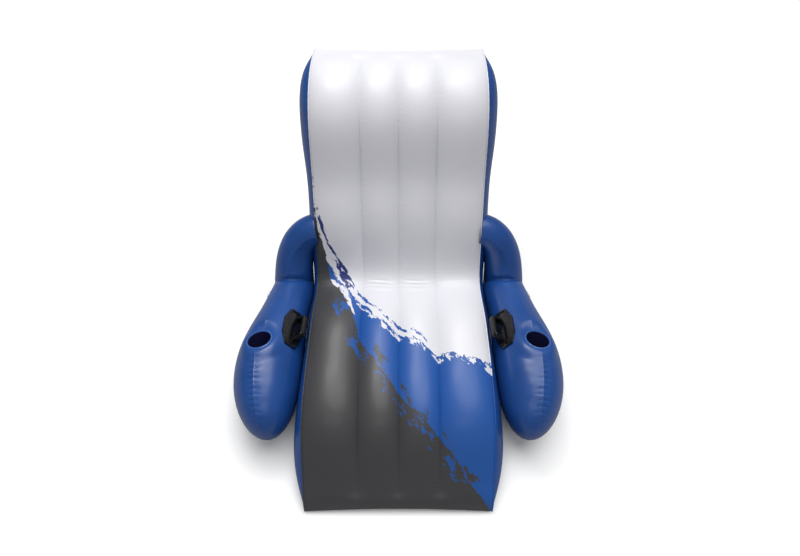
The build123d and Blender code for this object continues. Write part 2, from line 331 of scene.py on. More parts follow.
WHITE_INK = (0.640, 0.640, 0.680, 1)
GREY_INK = (0.047, 0.047, 0.050, 1)
BLUE_INK = (0.009, 0.078, 0.320, 1)
NAVY_INK = (0.014, 0.028, 0.165, 1)
STROKE_TURN = math.radians(-60)    # direction in which the brush was drawn
STROKE_LONG = 2.6                  # how much longer than wide its marks are


def guide_line(make, value, low, high, points, to_low, to_high):
    """A curve node from one flat distance to the other."""
    node = make.add("ShaderNodeFloatCurve")
    curve = node.mapping.curves[0]
    scaled = [((x - low) / (high - low), (y - to_low) / (to_high - to_low)) for x, y in points]
    while len(curve.points) < len(scaled):
        curve.points.new(0.5, 0.5)
    for point, (x, y) in zip(curve.points, scaled):
        point.location = (x, y)
        point.handle_type = "AUTO_CLAMPED"
    node.mapping.update()
    make.join(make.between(value, low, high), node.inputs["Value"])
    return make.between(node.outputs["Value"], 0, 1, to_low, to_high)


# %% Print group
def brush_print_group():
    group, inside, outside = new_group("brush_print", [], [("Color", "NodeSocketColor")])
    make = Nodes(group)
    flat = make.add("ShaderNodeTexCoord").outputs["UV"]
    parts = make.add("ShaderNodeSeparateXYZ")
    make.join(flat, parts.inputs[0])
    across, along = parts.outputs["X"], parts.outputs["Y"]
    stroke = make.add("ShaderNodeMapping", vector_type="TEXTURE")
    stroke.inputs["Rotation"].default_value = (0, 0, STROKE_TURN)
    stroke.inputs["Scale"].default_value = (STROKE_LONG, 1, 1)
    make.join(flat, stroke.inputs["Vector"])
    brush = stroke.outputs["Vector"]

    def swing(scale, detail, rough):
        return make.between(make.noise(brush, scale, detail, rough), 0.3, 0.7, -1, 1)

    broad, torn, grain = swing(17.0, 3.0, 0.55), swing(58.0, 4.0, 0.65), swing(170.0, 2.0, 0.6)
    fray = make.number("MULTIPLY_ADD", broad, 0.009, make.number("MULTIPLY_ADD", torn, 0.0065,
                                                                 make.number("MULTIPLY", grain, 0.0022)))
    past_grey = make.number("SUBTRACT", make.number("ADD", across, fray),
                            guide_line(make, along, 0, LONG, GREY_ENDS, -SPAN, SPAN))
    past_navy = make.number("SUBTRACT", make.number("MULTIPLY_ADD", fray, 1.3, across),
                            guide_line(make, along, 0, LONG, NAVY_STROKE, -SPAN, SPAN))
    past_blue = make.number("SUBTRACT", make.number("MULTIPLY_ADD", fray, 1.7, along),
                            guide_line(make, across, -SPAN, SPAN, WHITE_STARTS, 0, LONG))
    is_white = make.number("GREATER_THAN", past_blue, 0.0)
    is_grey = make.number("LESS_THAN", past_grey, 0.0)

    def stroke_mask(distance, half_wide, first, last, broken, rough_noise):
        """A stroke beside a guide line, between two places along the sheet."""
        inside_it = make.number("SUBTRACT", half_wide, make.number("ABSOLUTE", distance))
        whole = make.number("GREATER_THAN", inside_it, 0.0)
        start = make.number("GREATER_THAN", make.number("MULTIPLY_ADD", broad, 0.02, along), first)
        stop = make.number("LESS_THAN", make.number("MULTIPLY_ADD", broad, 0.02, along), last)
        gaps = make.number("GREATER_THAN", rough_noise, broken)
        return make.number("MULTIPLY", make.number("MULTIPLY", whole, gaps), make.number("MULTIPLY", start, stop))

    streaks = make.noise(brush, 42.0, 4.0, 0.62)
    specks = make.noise(brush, 26.0, 5.0, 0.72)
    navy_wide = make.between(along, 1.36, 1.00, 0.0045, 0.0155)
    navy = stroke_mask(past_navy, navy_wide, 0.955, 1.37, 0.455, streaks)
    white_edge = make.number("SUBTRACT", past_grey, make.between(along, 0.78, 0.98, 0.004, 0.011))
    white_gap = stroke_mask(white_edge, make.between(along, 0.78, 0.98, 0.006, 0.012), 0.79, 1.02, 0.40, streaks)
    beside = make.number("SUBTRACT", past_blue, make.between(across, -0.2, 0.12, 0.052, 0.030))
    thin_blue = stroke_mask(beside, make.between(across, -0.2, 0.12, 0.011, 0.006), 0.60, 0.98, 0.50, streaks)
    left_only = make.number("LESS_THAN", across, 0.115)
    thin_blue = make.number("MULTIPLY", thin_blue, left_only)
    rim = make.number("ADD", past_blue, 0.016)
    white_rim = stroke_mask(rim, 0.012, 0.50, 0.98, 0.515, streaks)
    in_grey = make.number("ADD", past_grey, 0.040)
    blue_specks = stroke_mask(in_grey, 0.032, 0.10, 0.90, 0.555, specks)
    in_blue = make.number("SUBTRACT", past_grey, 0.020)
    grey_specks = stroke_mask(in_blue, 0.022, 0.10, 0.66, 0.545, specks)

    ink = make.mix(grey_specks, BLUE_INK, GREY_INK)
    ink = make.mix(white_rim, ink, WHITE_INK)
    ink = make.mix(is_white, ink, WHITE_INK)
    ink = make.mix(thin_blue, ink, BLUE_INK)
    ink = make.mix(navy, ink, NAVY_INK)
    ink = make.mix(is_grey, ink, GREY_INK)
    ink = make.mix(make.number("MULTIPLY", blue_specks, is_grey), ink, BLUE_INK)
    ink = make.mix(white_gap, ink, WHITE_INK)
    make.join(ink, outside.inputs["Color"])
    return group


brush_print = brush_print_group()
print("print with", len(GREY_ENDS) + len(NAVY_STROKE) + len(WHITE_STARTS), "guide points")

# %% [markdown]
# Each finish is one Principled shader. A clear coat gives the wet shine of new
# vinyl over the duller colour below it.

# %% Materials
def vinyl(name, colour, darker, gloss=0.25, cloud=0.08, wave=0.15, coat=0.5, printed=False):
    material = bpy.data.materials.new(name)
    material.use_nodes = True
    make = Nodes(material.node_tree)
    shader = material.node_tree.nodes["Principled BSDF"]
    surface = make.add("ShaderNodeGroup")
    surface.node_tree = vinyl_surface
    surface.inputs["Gloss"].default_value = gloss
    surface.inputs["Cloud"].default_value = cloud
    surface.inputs["Wave"].default_value = wave
    if printed:
        inks = make.add("ShaderNodeGroup")
        inks.node_tree = brush_print
        base = inks.outputs["Color"]
    else:
        base = make.mix(surface.outputs["Shade"], darker, colour)
    make.join(base, shader.inputs["Base Color"])
    make.join(surface.outputs["Roughness"], shader.inputs["Roughness"])
    make.join(surface.outputs["Normal"], shader.inputs["Normal"])
    shader.inputs["Coat Weight"].default_value = coat
    shader.inputs["Coat Roughness"].default_value = 0.18
    shader.inputs["Specular IOR Level"].default_value = 0.5
    return material


printed_vinyl = vinyl("printed_face_vinyl", None, None, 0.42, 0.08, 0.10, 0.10, printed=True)
blue_vinyl = vinyl("blue_vinyl", (0.010, 0.064, 0.262, 1), (0.008, 0.052, 0.218, 1), 0.33, 0.08, 0.13, 0.22)
# The cup rim is a lighter blue than the arms: partly the rim's own colour, partly a painted highlight standing in for
# the bright line along its edge.
rim_vinyl = vinyl("rim_vinyl", (0.040, 0.125, 0.380, 1), (0.032, 0.100, 0.330, 1), 0.20, 0.06, 0.08, 0.7)
navy_vinyl = vinyl("navy_vinyl", (0.010, 0.010, 0.060, 1), (0.007, 0.007, 0.045, 1), 0.34, 0.1, 0.10, 0.2)
web_vinyl = vinyl("web_vinyl", (0.62, 0.62, 0.64, 1), (0.55, 0.55, 0.58, 1), 0.40, 0.1, 0.10, 0.1)
black_vinyl = vinyl("black_handle_vinyl", (0.004, 0.004, 0.0045, 1), (0.002, 0.002, 0.0025, 1), 0.20, 0.14, 0.20, 0.3)
milky_vinyl = vinyl("valve_vinyl", (0.55, 0.62, 0.70, 1), (0.48, 0.55, 0.64, 1), 0.30, 0.1, 0.08, 0.3)
print("materials:", [m.name for m in bpy.data.materials])

# %% [markdown]
# ## The long body
# Both long panels carry three weld lines, each held by a web inside. A weld line
# keeps to one smooth side view, so that is measured first: rays go down to the
# valley of the outer weld on the face, and up to it on the back.

# %% Side view of the panels
ROWS = 600


def side_view(name, downward):
    """Weld level along a panel, evenly spaced: y, z, the outward normal, distance."""
    low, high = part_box(name)
    y = np.linspace(low.y + 0.0015, high.y - 0.0015, 700)
    start, way = (2.0, -1) if downward else (-1.0, 1)
    z = fill_gaps(np.array([start + way * reach([name], (WELD_X, v, start), (0, 0, way)) for v in y]))
    for _ in range(2):
        run = np.concatenate([[0], np.cumsum(np.hypot(np.diff(y), np.diff(z)))])
        even = np.linspace(0, run[-1], ROWS)
        y, z = np.interp(even, run, y), np.interp(even, run, z)
        y, z = smooth(y, 6), smooth(z, 6)
    run = np.concatenate([[0], np.cumsum(np.hypot(np.diff(y), np.diff(z)))])
    slope = np.stack([np.gradient(y), np.gradient(z)], axis=1)
    slope /= np.linalg.norm(slope, axis=1)[:, None]
    normal = np.stack([-slope[:, 1], slope[:, 0]], axis=1)
    if not downward:
        normal = -normal
    return y, z, normal, run


face_y, face_z, face_normal, face_run = side_view("face_panel", True)
back_y, back_z, back_normal, back_run = side_view("back_panel", False)
print("face sheet", round(face_run[-1], 3), "m long, back sheet", round(back_run[-1], 3), "m long")

# %% Width and crowns of the panels
PROBE_OUT = 0.25


def crown_along(name, y, z, normal, x_of_row):
    """How far the channel's crest stands above the weld level, row by row."""
    found = []
    for row in range(ROWS):
        out = Vector((0, *normal[row]))
        start = Vector((x_of_row[row], y[row], z[row])) + out * PROBE_OUT
        found.append(PROBE_OUT - reach([name], start, -out))
    return smooth(np.clip(fill_gaps(np.array(found)), 0, 0.06), 10)


def half_width(y, z, normal):
    """Where the face sheet's side seam runs."""
    found = []
    for row in range(ROWS):
        start = Vector((1.0, y[row], z[row])) - Vector((0, *normal[row])) * SHEET * 0.4
        found.append(1.0 - reach(["face_panel"], start, (-1, 0, 0)))
    found = np.array(found)
    found[found < WELD_X + 0.1] = np.nan
    return smooth(fill_gaps(found), 12)


half = half_width(face_y, face_z, face_normal)
back_half = np.interp(back_run / back_run[-1], face_run / face_run[-1], half)
face_crowns = [crown_along("face_panel", face_y, face_z, face_normal, (half + WELD_X) / 2),
               crown_along("face_panel", face_y, face_z, face_normal, np.full(ROWS, WELD_X / 2))]
back_crowns = [crown_along("back_panel", back_y, back_z, back_normal, (back_half + WELD_X) / 2),
               crown_along("back_panel", back_y, back_z, back_normal, np.full(ROWS, WELD_X / 2))]
print("half width", round(half.min(), 3), "to", round(half.max(), 3),
      "crown up to", round(face_crowns[0].max() * 1000, 1), "mm")

# %% [markdown]
# At the foot and at the head the two long sheets are welded to each other, so
# their last few centimetres are drawn to one shared line.

# %% Close the end seams
SEAM_DRAW = 0.022        # the sheets come together over about this length


def draw_together(line, run, other_line):
    """Moves both ends of a side view to the middle between the two sheets."""
    first = (other_line[0] - line[0]) / 2
    last = (other_line[-1] - line[-1]) / 2
    return line + first * np.exp(-run / SEAM_DRAW) + last * np.exp(-(run[-1] - run) / SEAM_DRAW)


closed = [draw_together(face_y, face_run, back_y), draw_together(face_z, face_run, back_z),
          draw_together(back_y, back_run, face_y), draw_together(back_z, back_run, face_z)]
print("end seams were", round(math.hypot(face_y[-1] - back_y[-1], face_z[-1] - back_z[-1]) * 1000, 1), "mm apart")
face_y, face_z, back_y, back_z = closed

# %% [markdown]
# Air makes each channel nearly round between its welds, with a crisp valley at
# the weld. Near the two end seams the welds stop short and the four channels
# run together into one pillow edge, and where the seat folds the inner channels
# buckle into a few short creases.

# %% Channelled sheet
PER_CHANNEL = 17          # columns in one channel
FULLNESS = 0.80           # under 1 makes a channel fuller than a parabola
WELD_STOP = 0.055         # the welds end this far from the end seams
CROWDING = 0.82           # how much the columns crowd towards a weld
END_BOW = 0.015           # the middle of an end seam is drawn in this far
END_REACH = 0.10          # and the pull fades over this length
PUCKER = 0.0011           # depth of the small gathers along a weld
PUCKER_STEP = 0.021       # and their spacing


def waver(run, step, seed):
    """A wave of about the given step that never repeats exactly."""
    drift = 1.9 * np.sin(run * 7.3 + seed) + 1.3 * np.sin(run * 17.9 + 2.1 * seed)
    return np.sin(2 * math.pi * run / step + drift)


def channelled_sheet(y, z, normal, run, half_row, crowns, folds):
    """Places of a sheet with four channels, rows along it and columns across."""
    columns = []
    for channel in range(4):
        t = np.linspace(0, 1, PER_CHANNEL + 1)[:-1 if channel < 3 else None]
        t = CROWDING * (1 - np.cos(math.pi * t)) / 2 + (1 - CROWDING) * t
        columns += [(channel, value) for value in t]
    places = np.zeros((ROWS, len(columns), 3))
    across = np.zeros((ROWS, len(columns)))
    to_end = np.minimum(run, run[-1] - run)
    held = ease(0.7 * WELD_STOP, 1.5 * WELD_STOP, to_end)
    drawn_in = END_BOW * (np.exp(-run / END_REACH) - np.exp(-(run[-1] - run) / END_REACH))
    slope = np.stack([np.gradient(y, run), np.gradient(z, run)], axis=1)
    for column, (channel, t) in enumerate(columns):
        left = np.array([-half_row, np.full(ROWS, -WELD_X), np.zeros(ROWS), np.full(ROWS, WELD_X)][channel])
        right = np.array([np.full(ROWS, -WELD_X), np.zeros(ROWS), np.full(ROWS, WELD_X), half_row][channel])
        x = left + (right - left) * t
        crown = crowns[1] if channel in (1, 2) else crowns[0]
        channel_shape = max(4 * t * (1 - t), 0.0) ** FULLNESS
        whole_shape = (1 - (x / half_row) ** 2).clip(0) ** 0.35
        rise = crown * (held * channel_shape + (1 - held) * whole_shape)
        to_weld = np.minimum(t, 1 - t) * (right - left)
        gather = np.exp(-to_weld / 0.013) * (1 - np.exp(-to_weld / 0.004)) * held
        rise = rise - PUCKER * gather * (0.5 + 0.5 * waver(run, PUCKER_STEP, channel + 3.0 * (t > 0.5)))
        for place, depth, width, reach_in in folds:
            bite = np.exp(-((run - place - 0.004 * math.sin(5 * t + channel)) / width) ** 2)
            middle = math.exp(-((t - 0.5) / reach_in) ** 2) if channel in (1, 2) else 0.10
            rise = rise - depth * bite * middle
        end_gather = np.exp(-to_end / 0.035) * (1 - np.exp(-to_end / 0.006))
        rise = rise - 0.0022 * end_gather * (0.5 + 0.5 * np.sin(x * 165 + 2.2 * np.sin(x * 31)))
        pull = drawn_in * (1 - (x / half_row) ** 2)
        places[:, column, 0] = x
        places[:, column, 1] = y + normal[:, 0] * rise + slope[:, 0] * pull
        places[:, column, 2] = z + normal[:, 1] * rise + slope[:, 1] * pull
        across[:, column] = x
    return places, across, np.repeat(run[:, None], len(columns), axis=1)


fold_row = int(np.argmin(np.where((face_y > -0.3) & (face_y < 0.5), face_z, 9)))
FOLD = face_run[fold_row]
PRINT_FOLD = 0.977        # the print is laid out with the fold this far along
face_folds = [(FOLD - 0.030, 0.0035, 0.0045, 0.34), (FOLD - 0.012, 0.0050, 0.0050, 0.40),
              (FOLD + 0.008, 0.0045, 0.0045, 0.36), (FOLD + 0.030, 0.0025, 0.0045, 0.28)]
print("seat fold", round(FOLD, 3), "m from the foot edge")

# %% Face and back panels
shape, across, along = channelled_sheet(face_y, face_z, face_normal, face_run, half, face_crowns, face_folds)
face = grid_sheet("face_skin", shape, across, along - FOLD + PRINT_FOLD)
face_outwards(face, (0, -0.5, 1))
crease(face, on_weld)
give_thickness(face, VINYL)
belongs(face, printed_vinyl, "printed_face_vinyl", "face_panel")

back = grid_sheet("back_skin", *channelled_sheet(back_y, back_z, back_normal, back_run, back_half, back_crowns, []))
face_outwards(back, (0, 0.3, -1))
crease(back, on_weld)
give_thickness(back, VINYL)
belongs(back, blue_vinyl, "blue_vinyl", "back_panel")

# %% [markdown]
# The face sheet is cut a little larger than its seam, so a narrow flange of it
# stands along each side. It carries the same print, which is why the seam shows
# as a thin light line beside the white area and a dark one beside the grey.

# %% Weld flanges
FLANGE_WIDTH = 0.0052
FLANGE_LEAN = 0.55        # how much of its width the flange rises
flange_run = np.linspace(0, 1, 5)
flange_out = FLANGE_WIDTH * math.sqrt(1 - FLANGE_LEAN ** 2)
ripple = 0.0006 * waver(face_run, 0.031, 2.0)[:, None] * flange_run[None, :]
flange = np.zeros((ROWS, len(flange_run), 3))
flange[..., 0] = half[:, None] - 0.0012 + flange_out * flange_run[None, :]
rise = FLANGE_WIDTH * FLANGE_LEAN * flange_run[None, :] + ripple
flange[..., 1] = face_y[:, None] + face_normal[:, :1] * rise
flange[..., 2] = face_z[:, None] + face_normal[:, 1:] * rise
for side, sign in SIDES.items():
    strip = grid_sheet(f"{side}_weld_flange", flange * np.array([sign, 1, 1]),
                       sign * np.minimum(flange[..., 0], half[:, None] - 0.001),
                       np.repeat(face_run[:, None], len(flange_run), axis=1) - FOLD + PRINT_FOLD)
    face_outwards(strip, (0, *face_normal[ROWS // 2]))
    give_thickness(strip, 2 * VINYL)
    belongs(strip, printed_vinyl, "printed_face_vinyl")

# %% [markdown]
# ## Side gussets
# A gusset is the strip that closes the body at the side. Its two long edges are
# the seams of the face and the back, and air bows it outwards between them.

# %% Gussets
GUSSET_COLUMNS = 22


def partner_rows():
    """For each row of the face seam, the distance along the back seam it is tied to."""
    tied = []
    for y, z in zip(face_y, face_z):
        tied.append(back_run[int(np.argmin((back_y - y) ** 2 + (back_z - z) ** 2))])
    tied = np.maximum.accumulate(np.array(tied))
    share = face_run / face_run[-1] * back_run[-1]
    tied = smooth(0.75 * tied + 0.25 * share, 24)
    tied[0], tied[-1] = 0.0, back_run[-1]
    return tied


def gusset_places():
    tied = partner_rows()
    low_y, low_z = np.interp(tied, back_run, back_y), np.interp(tied, back_run, back_z)
    low_half = np.interp(tied, back_run, back_half)
    bulge = []
    for row in range(ROWS):
        middle = (1.0, (face_y[row] + low_y[row]) / 2, (face_z[row] + low_z[row]) / 2)
        bulge.append(1.0 - reach(["right_side_gusset"], middle, (-1, 0, 0)))
    bulge = np.clip(smooth(fill_gaps(np.array(bulge)), 10) - half, 0, 0.06)
    places = np.zeros((ROWS, GUSSET_COLUMNS, 3))
    flat = np.zeros((ROWS, GUSSET_COLUMNS))
    depth = np.hypot(face_y - low_y, face_z - low_z)
    for column in range(GUSSET_COLUMNS):
        t = column / (GUSSET_COLUMNS - 1)
        t = 0.6 * t + 0.4 * (1 - math.cos(math.pi * t)) / 2
        bow = (4 * t * (1 - t)) ** 0.85
        edge = np.minimum(t, 1 - t) * depth
        gather = np.exp(-edge / 0.016) * (1 - np.exp(-edge / 0.004))
        dip = 0.0012 * gather * (0.5 + 0.5 * waver(face_run, 0.024, 5.0 * (t > 0.5)))
        places[:, column, 0] = half + (low_half - half) * t + bulge * bow - dip
        places[:, column, 1] = face_y + (low_y - face_y) * t
        places[:, column, 2] = face_z + (low_z - face_z) * t
        flat[:, column] = depth * t
    return places, flat, np.repeat(face_run[:, None], GUSSET_COLUMNS, axis=1)


gusset_shape = gusset_places()
for side, sign in SIDES.items():
    places = gusset_shape[0] * np.array([sign, 1, 1])
    gusset = grid_sheet(f"{side}_gusset_skin", places, *gusset_shape[1:])
    face_outwards(gusset, (sign, 0, 0))
    give_thickness(gusset, VINYL)
    belongs(gusset, blue_vinyl, "blue_vinyl", f"{side}_side_gusset")

# %% [markdown]
# ## Armrests
# An armrest is a bent tube of two sheets, with a mitred riser behind the elbow.
# Rays go out from its middle line in a fan of directions, slice by slice. The
# fan's distances are turned into a few smooth waves round the tube, so that the
# cup's hole and the facets of the frame leave no trace.

# %% The tube's middle line
ARM = ["right_arm_outer_panel", "right_arm_inner_panel", "right_arm_riser_outer_panel", "right_arm_riser_inner_panel"]


def joint_box(names):
    """The box of several nodes together."""
    corners = [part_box(name) for name in names]
    low = Vector([min(pair[0][k] for pair in corners) for k in range(3)])
    high = Vector([max(pair[1][k] for pair in corners) for k in range(3)])
    return low, high


arm_low, arm_high = joint_box(ARM[:2])
riser_low, riser_high = joint_box(ARM[2:])
MITRE = math.radians(28.6)       # lean of the elbow seam
MITRE_IN = 0.20                  # the slices lean over this length before it
NOSE = 0.268                     # length of the rounded nose
RISER_R = 0.073
FRONT_SLICES = 300
RISER_SLICES = 90
RISER_INTO_BODY = 0.030          # the riser runs on into the body by this much


def cast(centre, direction):
    """Distance from inside the tube to the outer face of its sheet."""
    return reach(ARM, centre, direction) + SHEET


def across_of(along):
    """The outward and upward directions of a slice square to the tube."""
    outward = (Vector((1, 0, 0)) - along * along.x).normalized()
    return outward, outward.cross(along)


def centred(centre, along):
    """Moves a point to the middle of the tube within its slice."""
    for _ in range(2):
        for axis in across_of(along):
            ahead, behind = cast(centre, axis), cast(centre, -axis)
            if not math.isnan(ahead + behind):
                centre = centre + axis * (ahead - behind) / 2
    return centre


def front_line():
    """Slices of the front segment, from the nose's tip to the elbow seam."""
    elbow_y = riser_low.y + (riser_high.y - riser_low.y) * 0.22
    belly = Vector(((arm_low.x + arm_high.x) / 2, arm_low.y + NOSE, (arm_low.z + arm_high.z) / 2))
    tip = arm_low.y - 0.0006
    nose_share = 0.46
    places = []
    for t in np.linspace(0, 1, FRONT_SLICES):
        if t < nose_share:
            places.append(tip + NOSE * (1 - math.cos(math.pi / 2 * t / nose_share)))
        else:
            places.append(tip + NOSE + (elbow_y - tip - NOSE) * (t - nose_share) / (1 - nose_share))
    first = int(FRONT_SLICES * nose_share)
    found = {}
    for order in (range(first, -1, -1), range(first + 1, FRONT_SLICES)):
        centre = belly.copy()
        for row in order:
            lean = MITRE * ease(elbow_y - MITRE_IN, elbow_y, places[row])
            along = Vector((0, math.cos(lean), math.sin(lean)))
            centre = Vector((centre.x, places[row], centre.z))
            if places[row] > tip + 0.003:
                centre = centred(centre, along)
                centre = centre + along * (places[row] - centre.y) / along.y
            found[row] = (centre.copy(), along)
    return [found[row] for row in range(FRONT_SLICES)]


def riser_line(start, start_way):
    """Slices of the riser, from the elbow seam to the gusset."""
    end = Vector((riser_low.x + 0.013, riser_high.y - RISER_R, riser_high.z - RISER_R))
    end_way = Vector((-0.99, 0.05, 0.13)).normalized()
    pull = (end - start).length * 0.42
    rise = Vector((0.03, 0.48, 0.88)).normalized()
    one, two = start + rise * pull, end - end_way * pull
    line = []
    for t in np.linspace(0, 1, RISER_SLICES + 1)[1:]:
        s = 1 - t
        centre = start * s ** 3 + one * 3 * s * s * t + two * 3 * s * t * t + end * t ** 3
        along = ((one - start) * 3 * s * s + (two - one) * 6 * s * t + (end - two) * 3 * t * t).normalized()
        along = start_way.lerp(along, float(ease(0.0, 0.35, t))).normalized()
        line.append((centred(centre, along) if t < 0.86 else centre, along))
    return line


front = front_line()
line = front + riser_line(*front[-1])
tube_centres = np.array([centre for centre, _ in line])
for axis in range(3):
    if axis != 1:
        tube_centres[:FRONT_SLICES, axis] = smooth(tube_centres[:FRONT_SLICES, axis], 16)
    tube_centres[FRONT_SLICES:, axis] = smooth(tube_centres[FRONT_SLICES:, axis], 16)
# The riser runs on a little way into the body, so that its end is never seen.
fade = np.linspace(0, 1, RISER_SLICES)[:, None] ** 3
tube_centres[FRONT_SLICES:, 0] -= RISER_INTO_BODY * fade[:, 0]
tube_out = np.array([across_of(along)[0] for _, along in line])
tube_up = np.array([across_of(along)[1] for _, along in line])
tube_run = np.concatenate([[0], np.cumsum(np.linalg.norm(np.diff(tube_centres, axis=0), axis=1))])
print("arm line", round(tube_run[-1], 3), "m, elbow at", np.round(tube_centres[FRONT_SLICES - 1], 3))

# %% The fan of rays in each slice
FAN = 56
WAVES = 4


def fan_of(row):
    """Radius of a slice as the strengths of a few waves round it."""
    centre, outward, upward = (Vector(v[row]) for v in (tube_centres, tube_out, tube_up))
    angles, radii = [], []
    for angle in np.linspace(0, 2 * math.pi, FAN, endpoint=False):
        distance = cast(centre, outward * math.cos(angle) + upward * math.sin(angle))
        if not math.isnan(distance):
            angles.append(angle)
            radii.append(distance)
    angles, radii = np.array(angles), np.array(radii)
    if len(radii) < FAN / 2:
        return np.full(2 * WAVES + 1, math.nan)
    good = np.abs(radii - np.median(radii)) < 0.4 * np.median(radii)
    table = [np.ones(good.sum())]
    for wave in range(1, WAVES + 1):
        table += [np.cos(wave * angles[good]), np.sin(wave * angles[good])]
    return np.linalg.lstsq(np.array(table).T, radii[good], rcond=None)[0]


strengths = np.array([fan_of(row) for row in range(len(line))])
first_good = int(np.argmax(tube_centres[:, 1] > arm_low.y + 0.002))
for column in range(strengths.shape[1]):
    values = fill_gaps(strengths[:, column])
    values[:first_good] = values[first_good] * np.arange(first_good) / first_good
    strengths[:, column] = smooth(values, 6)
strengths[0] = 0
print("mean radius by slice", np.round(strengths[::30, 0], 3).tolist())

# %% [markdown]
# The two halves of the tube meet in a ridge seam on top and a second seam below.
# On the rounded nose the flat-cut sheets have too much vinyl for the seam, so it
# gathers into short puckers across it. The cup is stiffer than the tube and pulls
# the sheet flat round its rim.

# %% Places of the cup and the valves
mounts = {m["name"]: m for m in frame["record"]["mounts"]}
cup_axis = np.array(Vector(mounts["right_cup_holder"]["axis"]).normalized())
rim_low, rim_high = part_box("right_cup_rim")
cup_middle = np.array((rim_low + rim_high) / 2)
CUP_R = mounts["right_cup_holder"]["dims"]["r_mm"] / 1000
RIM_R = 0.0535
VALVE_HOLE = 0.012


def valve_place(name, hinge):
    """Middle of a valve's flange and the direction in which its stem pulls out."""
    low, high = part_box(name)
    axis = [j for j in frame["joints"] if j["name"] == hinge][0]["axis"]
    return np.array((low + high) / 2), np.array(Vector(axis).normalized())


arm_valve = valve_place("right_arm_valve_base", "right_arm_valve_pull")
cup_run = tube_run[int(np.argmin(np.abs(tube_centres[:FRONT_SLICES, 1] - cup_middle[1])))]
elbow_run = tube_run[FRONT_SLICES - 1]
print("cup", round(cup_run, 3), "m and elbow", round(elbow_run, 3), "m from the nose's tip")

# %% Tube sheets
RIDGE = math.radians(81)         # the ridge seam's place round the tube
TUBE_COLUMNS = 73
PUCKER_STEP_ARM = 0.0205


def tube_places(start, end, rows):
    """Places of the tube's sheet between two angles, for a range of slices."""
    t = np.linspace(0, 1, TUBE_COLUMNS)
    t = 0.15 * t + 0.85 * (1 - np.cos(math.pi * t)) / 2
    angle = start + (end - start) * t
    w = strengths[rows]
    radius = np.repeat(w[:, :1], TUBE_COLUMNS, axis=1)
    for wave in range(1, WAVES + 1):
        radius = radius + w[:, 2 * wave - 1:2 * wave] * np.cos(wave * angle)
        radius = radius + w[:, 2 * wave:2 * wave + 1] * np.sin(wave * angle)
    run = tube_run[rows][:, None]
    whole = np.clip(radius / 0.05, 0, 1)
    from_seam = np.minimum(np.abs(angle - start), np.abs(end - angle)) * radius
    radius = radius - whole * tube_dents(from_seam, run, angle, rows is riser_rows)
    out, up, centre = tube_out[rows][:, None, :], tube_up[rows][:, None, :], tube_centres[rows][:, None, :]
    places = centre + radius[..., None] * (out * np.cos(angle)[None, :, None] + up * np.sin(angle)[None, :, None])
    return settle_on_cup(places), angle[None, :] * radius, np.repeat(run, TUBE_COLUMNS, axis=1)


def tube_dents(from_seam, run, angle, on_riser):
    """How far the sheet lies below the smooth tube: ridge, puckers, slack and mitre."""
    ridge = -0.0030 * np.exp(-from_seam / 0.012)
    nose = ease(0.012, 0.06, run) * (1 - ease(cup_run - 0.075, cup_run - 0.055, run))
    if on_riser:
        nose = 0 * nose
    beat = 0.5 + 0.5 * waver(run, PUCKER_STEP_ARM, 1.7)
    valley = beat ** 2.2
    outer_side = 1.0 if angle[0] < RIDGE - 1 else 0.22
    strength = 0.45 + 0.55 * (0.5 + 0.5 * waver(run, 0.083, 2.7))
    spread = 0.018 + 0.011 * (0.5 + 0.5 * waver(run, 0.061, 0.4))
    fold = np.exp(-(from_seam / spread) ** 2.2) * ease(-0.002, 0.004, from_seam)
    puckers = (0.0005 + 0.0046 * nose * outer_side * strength) * valley * fold
    slack = 0.0011 * nose * (0.5 + 0.5 * waver(run, 0.052, 4.0)) * np.exp(-(from_seam / 0.05) ** 2)
    to_elbow = np.abs(run - elbow_run)
    mitre = 0.0012 * np.exp(-to_elbow / 0.004) + 0.0010 * np.exp(-(to_elbow / 0.03) ** 2)
    mitre = mitre + 0.0008 * np.exp(-to_elbow / 0.022) * (0.5 + 0.5 * np.sin(angle * 31 + 2.4 * np.sin(angle * 5)))
    return ridge + puckers + slack + mitre


def settle_on_cup(places):
    """Draws the sheet flat to the plane of the cup's rim."""
    offset = places - cup_middle
    height = offset @ cup_axis
    flat = np.linalg.norm(offset - height[..., None] * cup_axis, axis=-1)
    near = (1 - ease(RIM_R * 0.95, RIM_R * 1.9, flat)) * (np.abs(height) < 0.09)
    lift = -(height - 0.0004) * near
    return places + lift[..., None] * cup_axis


# %% Holes for the cup and the valves
def choose_faces(piece, wanted):
    """Opens a piece in edit mode with just the wanted faces selected."""
    nothing_selected()
    bpy.context.view_layer.objects.active = piece
    piece.select_set(True)
    bpy.ops.object.mode_set(mode="EDIT")
    bpy.ops.mesh.select_mode(type="FACE")
    bpy.ops.mesh.select_all(action="DESELECT")
    bpy.ops.object.mode_set(mode="OBJECT")
    for polygon in piece.data.polygons:
        polygon.select = wanted(np.array(polygon.center))
    bpy.ops.object.mode_set(mode="EDIT")


def open_round(piece, middle, axis, radius, depth=0.03):
    """Removes the faces within a radius of an axis."""
    def inside(centre):
        offset = centre - middle
        height = offset @ axis
        return abs(height) < depth and np.linalg.norm(offset - height * axis) < radius

    choose_faces(piece, inside)
    bpy.ops.mesh.delete(type="FACE")
    bpy.ops.object.mode_set(mode="OBJECT")


